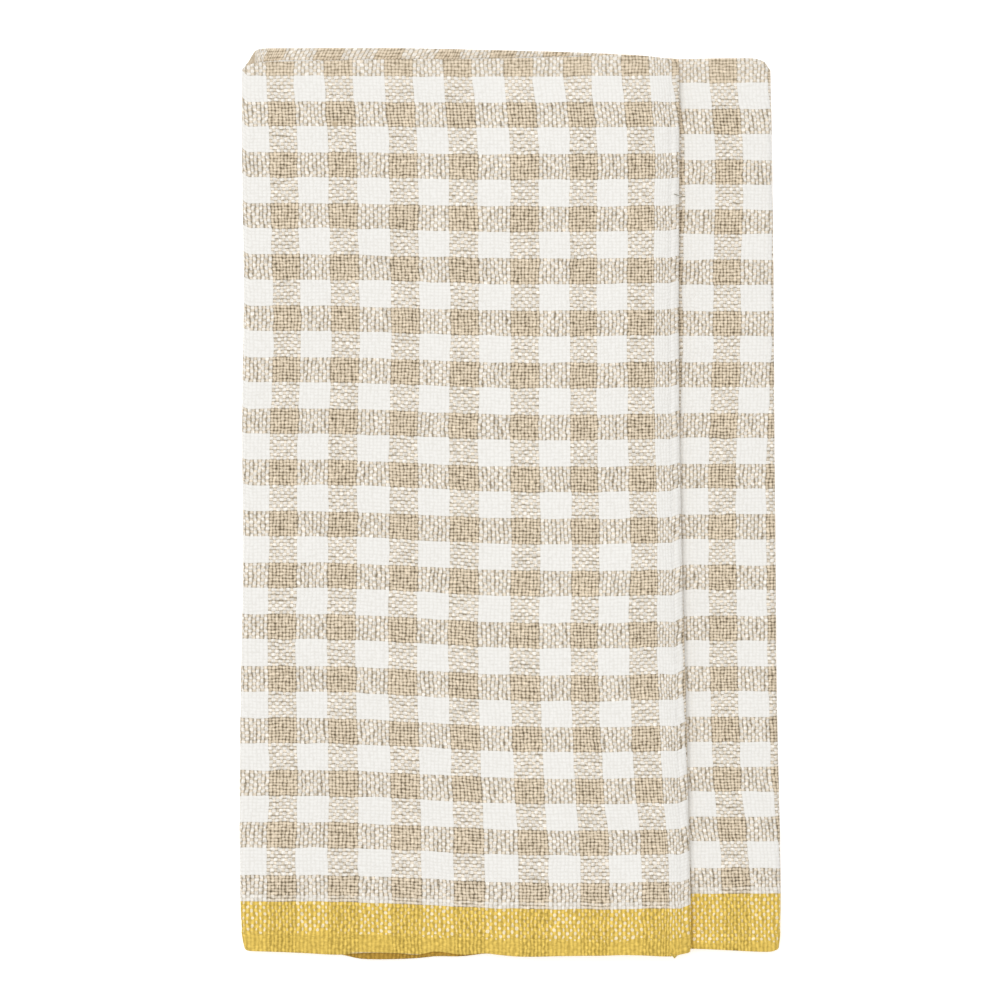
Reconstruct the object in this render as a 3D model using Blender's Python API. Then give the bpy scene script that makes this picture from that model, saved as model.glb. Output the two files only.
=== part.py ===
"""A gingham tea towel, folded as it lies flat for display.

The cloth is one hemmed linen rectangle. It is doubled end to end, which makes the top fold, and the
doubled cloth is then folded lengthwise into four panels, one under the other:

    tuck    hidden under the front, from its free edge to the front fold
    front   the broad panel on top, from the front fold to the left fold
    back    the panel that lies on the table, from the left fold to the right fold
    flap    the strip that shows on the right, from the right fold in under the front

X runs across the towel, Y along it towards the top fold, Z up. The origin is under the middle of it.
"""

from collections import namedtuple
from math import cos, hypot, pi, sin

import bpy

# The cloth, in metres
CLOTH_THICKNESS = 0.0010
HEM_THICKNESS = 0.00135
HEM_DEPTH = 0.008
LAYER_GAP = 0.0003          # between the two layers of the doubled cloth

# How the doubled cloth lies on itself
TOP_FOLD_SWELL = 0.00035    # the doubled cloth is this much thicker each side at the top fold
RIGHT_FOLD_GAP = 0.0005     # between back and flap
TUCK_GAP = 0.00035          # between flap and tuck
LEFT_FOLD_GAP = 0.0009      # between back and front, at the left
FRONT_ROLL_GAP = 0.0015     # between tuck and front, inside the soft roll of the front fold
ROLL_CREST = 0.0008         # the front stands this much higher just before it rolls over
TUCK_DEPTH = 0.050          # front fold to the tuck's free edge
FLAP_DEPTH = 0.070          # right fold to the flap's free edge

# Where the front climbs from the back onto the tuck, and the tuck onto the flap
FRONT_RAMP = (-0.035, 0.050)
TUCK_RAMP_RUN = 0.017
CREST_RUN = 0.016

# Where the towel's ends begin to thicken
HEM_START = -0.163
HEM_FULL = -0.169
TOP_START = 0.152
TOP_FULL = 0.163

# The folds that run lengthwise, from the bottom up
Edge = namedtuple("Edge", "y left front right")
EDGES = (
    Edge(y=-0.178, left=-0.1010, front=0.0700, right=0.1030),
    Edge(y=-0.168, left=-0.1040, front=0.0708, right=0.1048),
    Edge(y=-0.143, left=-0.1046, front=0.0704, right=0.1050),
    Edge(y=-0.077, left=-0.1050, front=0.0689, right=0.1036),
    Edge(y=0.005, left=-0.1047, front=0.0677, right=0.1028),
    Edge(y=0.120, left=-0.1042, front=0.0666, right=0.1019),
    Edge(y=0.166, left=-0.1041, front=0.0661, right=0.1008),
    Edge(y=0.178, left=-0.1036, front=0.0655, right=0.0998),
)

# The line of the top fold and of the two hems, from left to right, on each panel
Line = namedtuple("Line", "x top hem under_hem")
PANEL_LINES = {
    "tuck": (
        Line(x=0.000, top=0.1725, hem=-0.1745, under_hem=-0.1742),
        Line(x=0.062, top=0.1722, hem=-0.1750, under_hem=-0.1745),
        Line(x=0.070, top=0.1705, hem=-0.1738, under_hem=-0.1735),
    ),
    "front": (
        Line(x=-0.1050, top=0.1676, hem=-0.1715, under_hem=-0.1712),
        Line(x=-0.1025, top=0.1700, hem=-0.1738, under_hem=-0.1730),
        Line(x=-0.0960, top=0.1716, hem=-0.1745, under_hem=-0.1737),
        Line(x=-0.0620, top=0.1727, hem=-0.1756, under_hem=-0.1764),
        Line(x=-0.0460, top=0.1733, hem=-0.1752, under_hem=-0.1771),
        Line(x=-0.0200, top=0.1737, hem=-0.1756, under_hem=-0.1760),
        Line(x=0.0200, top=0.1741, hem=-0.1762, under_hem=-0.1755),
        Line(x=0.0500, top=0.1745, hem=-0.1766, under_hem=-0.1757),
        Line(x=0.0620, top=0.1730, hem=-0.1764, under_hem=-0.1755),
        Line(x=0.0700, top=0.1708, hem=-0.1740, under_hem=-0.1736),
    ),
    "back": (
        Line(x=-0.1050, top=0.1676, hem=-0.1715, under_hem=-0.1712),
        Line(x=-0.1005, top=0.1712, hem=-0.1732, under_hem=-0.1728),
        Line(x=-0.0940, top=0.1765, hem=-0.1738, under_hem=-0.1734),
        Line(x=-0.0440, top=0.1766, hem=-0.1740, under_hem=-0.1745),
        Line(x=0.0000, top=0.1757, hem=-0.1742, under_hem=-0.1746),
        Line(x=0.0700, top=0.1728, hem=-0.1732, under_hem=-0.1736),
        Line(x=0.0950, top=0.1718, hem=-0.1738, under_hem=-0.1735),
        Line(x=0.1040, top=0.1668, hem=-0.1722, under_hem=-0.1720),
    ),
    "flap": (
        Line(x=0.0300, top=0.1722, hem=-0.1732, under_hem=-0.1728),
        Line(x=0.0700, top=0.1725, hem=-0.1735, under_hem=-0.1730),
        Line(x=0.0950, top=0.1728, hem=-0.1744, under_hem=-0.1738),
        Line(x=0.1010, top=0.1700, hem=-0.1738, under_hem=-0.1733),
        Line(x=0.1040, top=0.1668, hem=-0.1722, under_hem=-0.1720),
    ),
}

# Gentle waves of the whole stack, as a share of its height
Wave = namedtuple("Wave", "share across along phase")
WAVES = (
    Wave(share=0.030, across=0.11, along=0.19, phase=0.4),
    Wave(share=0.022, across=-0.07, along=0.13, phase=2.1),
    Wave(share=0.015, across=0.16, along=-0.08, phase=4.0),
)

# Mesh steps
TUCK_STEPS = 7
FRONT_STEPS = 18
BACK_STEPS = 14
FLAP_STEPS = 7
FOLD_STEPS = 8
BODY_STEPS = 11
TOP_FOLD_STEPS = 6
HEM_STEPS = (0.0, 0.45, 1.0, 1.5)     # rows at the hem, in hem depths from the end

LINEN_COLOUR = (0.800, 0.740, 0.640, 1.0)
LINEN_ROUGHNESS = 0.92


def ease(low, high, at):
    """0 below low, 1 above high, with a soft S between them."""
    share = min(1.0, max(0.0, (at - low) / (high - low)))
    return share * share * (3.0 - 2.0 * share)


def along(rows, key, column, at):
    """A column of a table, read smoothly at a place between its rows."""
    places = [getattr(row, key) for row in rows]
    values = [getattr(row, column) for row in rows]
    at = min(places[-1], max(places[0], at))
    last = len(rows) - 1
    low = max(n for n in range(last) if places[n] <= at)
    high = low + 1
    gap = places[high] - places[low]

    def slope(n):
        before, after = max(0, n - 1), min(last, n + 1)
        return (values[after] - values[before]) / (places[after] - places[before])

    t = (at - places[low]) / gap
    return (
        values[low] * (2 * t**3 - 3 * t**2 + 1)
        + slope(low) * gap * (t**3 - 2 * t**2 + t)
        + values[high] * (3 * t**2 - 2 * t**3)
        + slope(high) * gap * (t**3 - t**2)
    )


def thickness(y):
    """One layer's thickness, which grows where the end is turned up for the hem."""
    return CLOTH_THICKNESS + (HEM_THICKNESS - CLOTH_THICKNESS) * ease(HEM_START, HEM_FULL, y)


def half_gap(y):
    """From the middle of the doubled cloth to the middle of either layer."""
    swell = TOP_FOLD_SWELL * ease(TOP_START, TOP_FULL, y)
    return (thickness(y) + LAYER_GAP) / 2 + swell


def half_double(y):
    """Half the thickness of the doubled cloth."""
    return half_gap(y) + thickness(y) / 2


def back_height(y):
    return half_double(y)


def flap_height(y):
    return 3 * half_double(y) + RIGHT_FOLD_GAP


def tuck_height(x, y):
    """On the flap near the front fold, and down on the back where the flap has ended."""
    flap_end = along(EDGES, "y", "right", y) - FLAP_DEPTH
    low = flap_height(y)
    high = 5 * half_double(y) + RIGHT_FOLD_GAP + TUCK_GAP
    return low + (high - low) * ease(flap_end - TUCK_RAMP_RUN, flap_end - 0.001, x)


def front_height(x, y):
    """Low at the left fold, climbing over tuck and flap, with a crest before the front fold."""
    fold = along(EDGES, "y", "front", y)
    low = 3 * half_double(y) + LEFT_FOLD_GAP
    high = 7 * half_double(y) + RIGHT_FOLD_GAP + TUCK_GAP + FRONT_ROLL_GAP
    crest = ROLL_CREST * ease(FRONT_RAMP[0], FRONT_RAMP[1], x) * (1 - ease(fold - CREST_RUN, fold, x))
    return low + (high - low) * ease(FRONT_RAMP[0], FRONT_RAMP[1], x) + crest


def spread(start, end, steps, first=0):
    """Even steps from start to end, both ends included unless the first is left out."""
    return [start + (end - start) * n / steps for n in range(first, steps + 1)]


def half_turn(x, low, high, side, steps):
    """The points of a fold between two heights, bulging to one side, without its two ends."""
    middle, radius = (low + high) / 2, abs(high - low) / 2
    rise = 1 if high > low else -1
    angles = [pi * n / steps for n in range(1, steps)]
    return [(x + side * radius * sin(a), middle - rise * radius * cos(a)) for a in angles]


def centre_line(y):
    """The middle of the doubled cloth in a section at one Y: (panel, x, z), free edge to free edge."""
    reach = half_double(y)
    left = along(EDGES, "y", "left", y)
    fold = along(EDGES, "y", "front", y)
    right = along(EDGES, "y", "right", y)
    back, flap = back_height(y), flap_height(y)
    roll_low = tuck_height(fold, y)
    roll_high = front_height(fold, y)
    left_high = front_height(left, y)
    roll_x = fold - reach - (roll_high - roll_low) / 2
    left_x = left + reach + (left_high - back) / 2
    right_x = right - reach - (flap - back) / 2

    points = [("tuck", x, tuck_height(x, y)) for x in spread(fold - TUCK_DEPTH, roll_x, TUCK_STEPS)]
    points[-1] = ("tuck", roll_x, roll_low)
    points += [("front", x, z) for x, z in half_turn(roll_x, roll_low, roll_high, 1, FOLD_STEPS)]
    points += [("front", roll_x, roll_high)]
    points += [("front", x, front_height(x, y)) for x in spread(roll_x, left_x, FRONT_STEPS, 1)]
    points += [("back", x, z) for x, z in half_turn(left_x, left_high, back, -1, FOLD_STEPS)]
    points += [("back", x, back) for x in spread(left_x, right_x, BACK_STEPS)]
    points += [("flap", x, z) for x, z in half_turn(right_x, back, flap, 1, FOLD_STEPS)]
    points += [("flap", x, flap) for x in spread(right_x, right - FLAP_DEPTH, FLAP_STEPS)]
    return points


def unit(x, z):
    size = hypot(x, z)
    return x / size, z / size


def outward(points, n):
    """The direction across the doubled cloth at one point of its centre line, towards its outer layer."""
    steps = []
    for a, b in ((n - 1, n), (n, n + 1)):
        if a >= 0 and b < len(points):
            steps.append(unit(points[b][1] - points[a][1], points[b][2] - points[a][2]))
    run_x, run_z = unit(sum(s[0] for s in steps), sum(s[1] for s in steps))
    return run_z, -run_x


def doubled_profile(top, hem, under_hem):
    """Outer hem, up to the top fold and back to the inner hem: (y, across, y step, across step)."""
    radius = half_gap(top)
    turn = top - radius - thickness(top) / 2
    outer = [hem + HEM_DEPTH * share for share in HEM_STEPS]
    inner = [under_hem + HEM_DEPTH * share for share in HEM_STEPS]
    rows = [(y, half_gap(y), 1.0, 0.0) for y in outer + spread(outer[-1], turn, BODY_STEPS, 1)]
    for step in range(1, TOP_FOLD_STEPS):
        angle = pi * step / TOP_FOLD_STEPS
        rows.append((turn + radius * sin(angle), radius * cos(angle), cos(angle), -sin(angle)))
    going_down = list(reversed(inner + spread(inner[-1], turn, BODY_STEPS, 1)))
    rows += [(y, -half_gap(y), -1.0, 0.0) for y in going_down]
    return rows


def stack_wave(x, y):
    return 1.0 + sum(w.share * sin(2 * pi * (x / w.across + y / w.along) + w.phase) for w in WAVES)


def sheet_points():
    """Both faces of the cloth as grids of points, one row of each for every column of the folds."""
    columns = len(centre_line(0.0))
    outer_face, inner_face = [], []
    for column in range(columns):
        panel, x, _ = centre_line(0.0)[column]
        lines = PANEL_LINES[panel]
        ends = [along(lines, "x", name, x) for name in ("top", "hem", "under_hem")]
        for face, side in ((outer_face, 1), (inner_face, -1)):
            points = []
            for y, across, y_step, across_step in doubled_profile(*ends):
                half = thickness(y) / 2
                at_y = y - side * half * across_step
                off = across + side * half * y_step
                line = centre_line(at_y)
                out_x, out_z = outward(line, column)
                px = line[column][1] + off * out_x
                pz = line[column][2] + off * out_z
                points.append((px, at_y, pz * stack_wave(px, at_y)))
            face.append(points)
    return outer_face, inner_face


def closed_sheet(name, outer_face, inner_face):
    """One closed body: the two faces, joined along the selvages and the hems."""
    columns, rows = len(outer_face), len(outer_face[0])
    points = [p for column in outer_face + inner_face for p in column]
    middle = [(min(p[k] for p in points) + max(p[k] for p in points)) / 2 for k in (0, 1)]
    floor = min(p[2] for p in points)
    points = [(p[0] - middle[0], p[1] - middle[1], p[2] - floor) for p in points]

    def outer(column, row):
        return column * rows + row

    def inner(column, row):
        return (columns + column) * rows + row

    faces = []
    for c in range(columns - 1):
        for r in range(rows - 1):
            faces.append((outer(c, r), outer(c, r + 1), outer(c + 1, r + 1), outer(c + 1, r)))
            faces.append((inner(c, r), inner(c + 1, r), inner(c + 1, r + 1), inner(c, r + 1)))
        for r, flip in ((0, False), (rows - 1, True)):
            strip = (outer(c, r), outer(c + 1, r), inner(c + 1, r), inner(c, r))
            faces.append(strip[::-1] if flip else strip)
    for r in range(rows - 1):
        for c, flip in ((0, True), (columns - 1, False)):
            strip = (outer(c, r), outer(c, r + 1), inner(c, r + 1), inner(c, r))
            faces.append(strip if flip is False else strip[::-1])

    mesh = bpy.data.meshes.new(name)
    mesh.from_pydata(points, [], faces)
    mesh.validate()
    mesh.shade_smooth()
    return mesh


def linen_material():
    material = bpy.data.materials.new("linen")
    material.use_nodes = True
    shader = material.node_tree.nodes["Principled BSDF"]
    shader.inputs["Base Color"].default_value = LINEN_COLOUR
    shader.inputs["Roughness"].default_value = LINEN_ROUGHNESS
    shader.inputs["Metallic"].default_value = 0.0
    return material


def towel():
    outer_face, inner_face = sheet_points()
    mesh = closed_sheet("towel", outer_face, inner_face)
    mesh.materials.append(linen_material())
    piece = bpy.data.objects.new("towel", mesh)
    bpy.context.scene.collection.objects.link(piece)
    return piece


for old in list(bpy.data.objects):
    bpy.data.objects.remove(old, do_unlink=True)
towel()
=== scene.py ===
from collections import namedtuple
from math import atan, pi

import bpy
import numpy as np
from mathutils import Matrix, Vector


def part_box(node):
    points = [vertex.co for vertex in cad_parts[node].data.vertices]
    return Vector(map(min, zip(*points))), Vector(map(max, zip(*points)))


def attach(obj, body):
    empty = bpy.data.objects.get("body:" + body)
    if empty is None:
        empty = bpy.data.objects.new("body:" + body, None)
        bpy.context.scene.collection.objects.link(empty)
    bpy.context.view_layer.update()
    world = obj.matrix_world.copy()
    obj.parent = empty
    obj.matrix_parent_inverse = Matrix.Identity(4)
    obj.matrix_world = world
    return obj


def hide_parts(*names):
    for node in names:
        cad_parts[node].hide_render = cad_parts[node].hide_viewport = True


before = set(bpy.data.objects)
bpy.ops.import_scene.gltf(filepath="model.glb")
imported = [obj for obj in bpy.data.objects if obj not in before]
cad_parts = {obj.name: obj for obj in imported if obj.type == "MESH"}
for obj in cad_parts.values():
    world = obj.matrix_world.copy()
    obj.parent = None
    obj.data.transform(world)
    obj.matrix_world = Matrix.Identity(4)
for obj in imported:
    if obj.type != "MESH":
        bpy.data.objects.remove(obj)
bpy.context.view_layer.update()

# The folded cloth
# One rectangle of coarse plain-weave linen, doubled end to end and then folded lengthwise into four
# panels: tuck, front, back and flap. The doubled cloth has an outer layer, which shows, and an inner
# one. Both ends are turned up and sewn, so the cloth is thicker there.
CLOTH_THICKNESS = 0.00075
HEM_THICKNESS = 0.00125
HEM_DEPTH = 0.0075
HEM_STEP = 0.0006                     # either side of the turned-in edge, where the hem thins out
END_BLUNTNESS = 0.3                   # of the thickness, left at the very end

# The room that a layer takes in the stack, and the air between the panels
LAYER_ROOM = 0.0010
HEM_ROOM = 0.00135
LAYER_GAP = 0.0003
TOP_FOLD_PRESS = 0.00012
RIGHT_FOLD_GAP = 0.0005
TUCK_GAP = 0.00035
LEFT_FOLD_GAP = 0.0009
FRONT_ROLL_GAP = 0.0004

# How far each part reaches, and where it begins and ends
ROLL_CREST = 0.0013                   # the front's rise before it rolls over its right fold
ROLL_REACH = 2.00                     # the front fold's reach across, as a share of its half height
TUCK_DEPTH = 0.050
FLAP_DEPTH = 0.070
FRONT_RAMP = (-0.035, 0.050)
TUCK_RAMP_RUN = 0.017
TUCK_RAMP_END = 0.001                 # before the flap's free edge
CREST_RUN = 0.010
HEM_START = -0.163
HEM_FULL = -0.169
TOP_START = 0.152
TOP_FULL = 0.163

# The folds that run lengthwise, from the bottom up
Edge = namedtuple("Edge", "y left front right")
EDGES = (
    Edge(y=-0.178, left=-0.1022, front=0.0697, right=0.1040),
    Edge(y=-0.168, left=-0.1045, front=0.0705, right=0.1053),
    Edge(y=-0.143, left=-0.1053, front=0.0701, right=0.1055),
    Edge(y=-0.116, left=-0.1055, front=0.0694, right=0.1050),
    Edge(y=-0.077, left=-0.1051, front=0.0685, right=0.1041),
    Edge(y=-0.020, left=-0.1041, front=0.0670, right=0.1036),
    Edge(y=0.033, left=-0.1045, front=0.0660, right=0.1031),
    Edge(y=0.083, left=-0.1038, front=0.0658, right=0.1028),
    Edge(y=0.120, left=-0.1044, front=0.0659, right=0.1024),
    Edge(y=0.166, left=-0.1046, front=0.0659, right=0.1016),
    Edge(y=0.178, left=-0.1043, front=0.0653, right=0.1008),
)

# The line of the top fold and of the two hems, from left to right, on each panel. Each place across is
# taken at half the cloth's length.
Line = namedtuple("Line", "x top hem under_hem")
PANEL_LINES = {
    "tuck": (
        Line(x=0.0000, top=0.1725, hem=-0.1745, under_hem=-0.1742),
        Line(x=0.0620, top=0.1722, hem=-0.1748, under_hem=-0.1743),
        Line(x=0.0700, top=0.1705, hem=-0.1736, under_hem=-0.1733),
    ),
    "front": (
        Line(x=-0.1034, top=0.1688, hem=-0.1741, under_hem=-0.1735),
        Line(x=-0.1024, top=0.1699, hem=-0.1744, under_hem=-0.1737),
        Line(x=-0.1008, top=0.1706, hem=-0.1745, under_hem=-0.1738),
        Line(x=-0.0970, top=0.1714, hem=-0.1746, under_hem=-0.1739),
        Line(x=-0.0840, top=0.1718, hem=-0.1751, under_hem=-0.1745),
        Line(x=-0.0684, top=0.1721, hem=-0.1759, under_hem=-0.1759),
        Line(x=-0.0603, top=0.1723, hem=-0.1752, under_hem=-0.1776),
        Line(x=-0.0459, top=0.1726, hem=-0.1753, under_hem=-0.1777),
        Line(x=-0.0381, top=0.1727, hem=-0.1759, under_hem=-0.1773),
        Line(x=-0.0311, top=0.1727, hem=-0.1746, under_hem=-0.1766),
        Line(x=-0.0206, top=0.1727, hem=-0.1758, under_hem=-0.1765),
        Line(x=-0.0120, top=0.1727, hem=-0.1752, under_hem=-0.1754),
        Line(x=-0.0062, top=0.1728, hem=-0.1758, under_hem=-0.1755),
        Line(x=0.0030, top=0.1729, hem=-0.1764, under_hem=-0.1760),
        Line(x=0.0172, top=0.1730, hem=-0.1760, under_hem=-0.1752),
        Line(x=0.0320, top=0.1735, hem=-0.1757, under_hem=-0.1750),
        Line(x=0.0444, top=0.1740, hem=-0.1754, under_hem=-0.1748),
        Line(x=0.0605, top=0.1727, hem=-0.1759, under_hem=-0.1749),
        Line(x=0.0652, top=0.1713, hem=-0.1748, under_hem=-0.1742),
        Line(x=0.0685, top=0.1700, hem=-0.1736, under_hem=-0.1730),
    ),
    "back": (
        Line(x=-0.1034, top=0.1688, hem=-0.1741, under_hem=-0.1735),
        Line(x=-0.1024, top=0.1707, hem=-0.1741, under_hem=-0.1736),
        Line(x=-0.1014, top=0.1720, hem=-0.1740, under_hem=-0.1735),
        Line(x=-0.1004, top=0.1738, hem=-0.1739, under_hem=-0.1734),
        Line(x=-0.0990, top=0.1761, hem=-0.1738, under_hem=-0.1734),
        Line(x=-0.0975, top=0.1768, hem=-0.1738, under_hem=-0.1734),
        Line(x=-0.0950, top=0.1771, hem=-0.1738, under_hem=-0.1734),
        Line(x=-0.0440, top=0.1772, hem=-0.1740, under_hem=-0.1745),
        Line(x=0.0000, top=0.1763, hem=-0.1742, under_hem=-0.1746),
        Line(x=0.0400, top=0.1750, hem=-0.1736, under_hem=-0.1740),
        Line(x=0.0700, top=0.1728, hem=-0.1732, under_hem=-0.1736),
        Line(x=0.0950, top=0.1722, hem=-0.1738, under_hem=-0.1735),
        Line(x=0.1020, top=0.1692, hem=-0.1741, under_hem=-0.1736),
    ),
    "flap": (
        Line(x=0.0300, top=0.1722, hem=-0.1732, under_hem=-0.1728),
        Line(x=0.0700, top=0.1728, hem=-0.1736, under_hem=-0.1730),
        Line(x=0.0950, top=0.1731, hem=-0.1747, under_hem=-0.1738),
        Line(x=0.0980, top=0.1728, hem=-0.1748, under_hem=-0.1739),
        Line(x=0.1000, top=0.1721, hem=-0.1748, under_hem=-0.1740),
        Line(x=0.1013, top=0.1711, hem=-0.1746, under_hem=-0.1739),
        Line(x=0.1020, top=0.1692, hem=-0.1741, under_hem=-0.1736),
    ),
}

# Gentle waves of the whole stack, as a share of its height
Wave = namedtuple("Wave", "share across along phase")
STACK_WAVES = (
    Wave(share=0.030, across=0.11, along=0.19, phase=0.4),
    Wave(share=0.022, across=-0.07, along=0.13, phase=2.1),
    Wave(share=0.015, across=0.16, along=-0.08, phase=4.0),
)

# The way across the doubled cloth, from the tuck's free edge to the flap's: the panels whose lines each
# stretch follows in its first and second half, its mesh steps, and how they crowd towards its ends
Stretch = namedtuple("Stretch", "name first second steps crowding")
STRETCHES = (
    Stretch("tuck", "tuck", "tuck", 8, 0.0),
    Stretch("front fold", "front", "front", 16, 0.0),
    Stretch("front", "front", "front", 84, 0.6),
    Stretch("left fold", "front", "back", 14, 0.0),
    Stretch("back", "back", "back", 44, 0.85),
    Stretch("right fold", "back", "flap", 14, 0.0),
    Stretch("flap", "flap", "flap", 22, 0.6),
)
BODY_ROWS = 96
TOP_FOLD_ROWS = 12
HEM_ROWS = (0.0, 0.00015, 0.0004, 0.0008, 0.0016, 0.0028, 0.0042, 0.0056, 0.0067, 0.0075, 0.0083, 0.0096)


def ease(low, high, at):
    """0 below low, 1 above high, with a soft S between them."""
    share = np.clip((at - low) / (high - low), 0.0, 1.0)
    return share * share * (3.0 - 2.0 * share)


def along(rows, key, column, at):
    """A column of a table, read smoothly at places between its rows."""
    places = np.array([getattr(row, key) for row in rows])
    values = np.array([getattr(row, column) for row in rows])
    last = len(rows) - 1
    before = np.maximum(np.arange(last + 1) - 1, 0)
    after = np.minimum(np.arange(last + 1) + 1, last)
    slopes = (values[after] - values[before]) / (places[after] - places[before])
    at = np.clip(at, places[0], places[-1])
    low = np.clip(np.searchsorted(places, at, side="right") - 1, 0, last - 1)
    gap = places[low + 1] - places[low]
    t = (at - places[low]) / gap
    return (
        values[low] * (2 * t**3 - 3 * t**2 + 1)
        + slopes[low] * gap * (t**3 - 2 * t**2 + t)
        + values[low + 1] * (3 * t**2 - 2 * t**3)
        + slopes[low + 1] * gap * (t**3 - t**2)
    )


def between(start, end, share):
    return start + (end - start) * share


def layer_room(y):
    return between(LAYER_ROOM, HEM_ROOM, ease(HEM_START, HEM_FULL, y))


def half_gap(y):
    """From the middle of the doubled cloth to the middle of either layer."""
    return (layer_room(y) + LAYER_GAP) / 2 - TOP_FOLD_PRESS * ease(TOP_START, TOP_FULL, y)


def half_double(y):
    """Half the room that the doubled cloth takes."""
    return half_gap(y) + layer_room(y) / 2


def flap_height(y):
    return 3 * half_double(y) + RIGHT_FOLD_GAP


def tuck_height(x, y):
    """On the flap near the front fold, and down on the back where the flap has ended."""
    flap_end = along(EDGES, "y", "right", y) - FLAP_DEPTH
    high = 5 * half_double(y) + RIGHT_FOLD_GAP + TUCK_GAP
    return between(flap_height(y), high, ease(flap_end - TUCK_RAMP_RUN, flap_end - TUCK_RAMP_END, x))


def front_height(x, y):
    """Low at the left fold, climbing over tuck and flap, with a crest before the front fold."""
    fold = along(EDGES, "y", "front", y)
    low = 3 * half_double(y) + LEFT_FOLD_GAP
    high = 7 * half_double(y) + RIGHT_FOLD_GAP + TUCK_GAP + FRONT_ROLL_GAP
    climb = ease(FRONT_RAMP[0], FRONT_RAMP[1], x)
    return between(low, high, climb) + ROLL_CREST * climb * (1 - ease(fold - CREST_RUN, fold, x))


def fold_places(y):
    """Where each lengthwise fold begins to turn, and the two heights that it joins."""
    reach = half_double(y)
    left = along(EDGES, "y", "left", y)
    fold = along(EDGES, "y", "front", y)
    right = along(EDGES, "y", "right", y)
    low, high = tuck_height(fold, y), front_height(fold, y)
    left_high = front_height(left, y)
    return {
        "front fold": (fold - reach - ROLL_REACH * (high - low) / 2, low, high),
        "left fold": (left + reach + (left_high - reach) / 2, left_high, reach),
        "right fold": (right - reach - (flap_height(y) - reach) / 2, reach, flap_height(y)),
    }


def centre_line(name, share, y):
    """The middle of the doubled cloth at a share of the way along one stretch: x and z."""
    folds = fold_places(y)
    if name in folds:
        side = -1 if name == "left fold" else 1
        x, start, end = folds[name]
        radius = (end - start) / 2
        reach = abs(radius) * (ROLL_REACH if name == "front fold" else 1.0)
        return x + side * reach * np.sin(pi * share), start + radius * (1 - np.cos(pi * share))
    front_x, left_x, right_x = (folds[fold][0] for fold in ("front fold", "left fold", "right fold"))
    if name == "tuck":
        x = between(along(EDGES, "y", "front", y) - TUCK_DEPTH, front_x, share)
        return x, tuck_height(x, y)
    if name == "front":
        x = between(front_x, left_x, share)
        return x, front_height(x, y)
    if name == "back":
        return between(left_x, right_x, share), half_double(y)
    return between(right_x, along(EDGES, "y", "right", y) - FLAP_DEPTH, share), flap_height(y)


def outward(column, y):
    """The direction across the doubled cloth, towards its outer layer, at one column."""
    run_x, run_z = 0.0, 0.0
    for first, second in ((column - 1, column), (column, column + 1)):
        if first >= 0 and second < len(COLUMNS):
            x0, z0 = centre_line(*COLUMNS[first], y)
            x1, z1 = centre_line(*COLUMNS[second], y)
            size = np.hypot(x1 - x0, z1 - z0)
            run_x = run_x + (x1 - x0) / size
            run_z = run_z + (z1 - z0) / size
    size = np.hypot(run_x, run_z)
    return run_z / size, -run_x / size


def mesh_columns():
    """Each column of the mesh as a stretch and the share of the way along it."""
    columns = [(STRETCHES[0].name, 0.0)]
    for stretch in STRETCHES:
        columns += [(stretch.name, share) for share in step_shares(stretch)]
    return columns


def step_shares(stretch):
    """The shares of the way at which one stretch has its columns."""
    even = np.arange(1, stretch.steps + 1) / stretch.steps
    return even - stretch.crowding * np.sin(2 * pi * even) / (2 * pi)


def sheet_thickness(from_end, y):
    """The cloth's own thickness, rounded off at the end of the hem."""
    hem_share = 1 - ease(HEM_DEPTH - HEM_STEP, HEM_DEPTH + HEM_STEP, from_end)
    full = between(CLOTH_THICKNESS, HEM_THICKNESS, hem_share)
    radius = HEM_THICKNESS / 2
    depth = np.clip(from_end / radius, 0.0, 1.0)
    return full * np.maximum(END_BLUNTNESS, np.sqrt(1 - (1 - depth) ** 2))


def doubled_rows(top, hem, under_hem):
    """The way along the cloth from the outer hem over the top fold to the inner hem, as five arrays:
    y, how far across from the middle, the step along the cloth (y and across), and the distance from
    the nearer end."""
    turn = top - half_gap(top) - CLOTH_THICKNESS / 2
    radius = half_gap(top)
    rows = []
    for end, side in ((hem, 1), (under_hem, -1)):
        body = np.linspace(end + HEM_ROWS[-1], turn, BODY_ROWS + 1)[1:]
        y = np.concatenate([end + np.array(HEM_ROWS), body])
        part = np.stack([y, side * half_gap(y), np.full_like(y, side), np.zeros_like(y), y - end])
        rows.append(part if side == 1 else part[:, ::-1])
    angle = pi * np.arange(1, TOP_FOLD_ROWS) / TOP_FOLD_ROWS
    bend = np.stack([
        turn + radius * np.sin(angle), radius * np.cos(angle), np.cos(angle), -np.sin(angle),
        np.full_like(angle, turn - hem),
    ])
    return np.concatenate([rows[0], bend, rows[1]], axis=1)


def ripple(wave, x, y):
    return wave.share * np.sin(2 * pi * (x / wave.across + y / wave.along) + wave.phase)


def stack_wave(x, y):
    return 1.0 + sum(ripple(wave, x, y) for wave in STACK_WAVES)


# Soft troughs and ridges of the front panel, each a line with its middle, reach, width and height
Crease = namedtuple("Crease", "x y lean reach width height")
FRONT_CREASES = (
    Crease(x=-0.088, y=0.060, lean=0.05, reach=0.100, width=0.006, height=0.00030),
    Crease(x=-0.060, y=-0.060, lean=-0.10, reach=0.080, width=0.010, height=-0.00020),
    Crease(x=-0.020, y=0.090, lean=0.20, reach=0.060, width=0.009, height=0.00025),
    Crease(x=0.030, y=-0.090, lean=-0.15, reach=0.070, width=0.010, height=0.00035),
    Crease(x=0.052, y=0.020, lean=0.02, reach=0.140, width=0.007, height=0.00030),
    Crease(x=0.010, y=0.010, lean=1.20, reach=0.050, width=0.008, height=0.00020),
    Crease(x=0.045, y=-0.160, lean=0.60, reach=0.022, width=0.004, height=0.00040),
    Crease(x=-0.030, y=-0.163, lean=-0.50, reach=0.018, width=0.004, height=0.00030),
)
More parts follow.
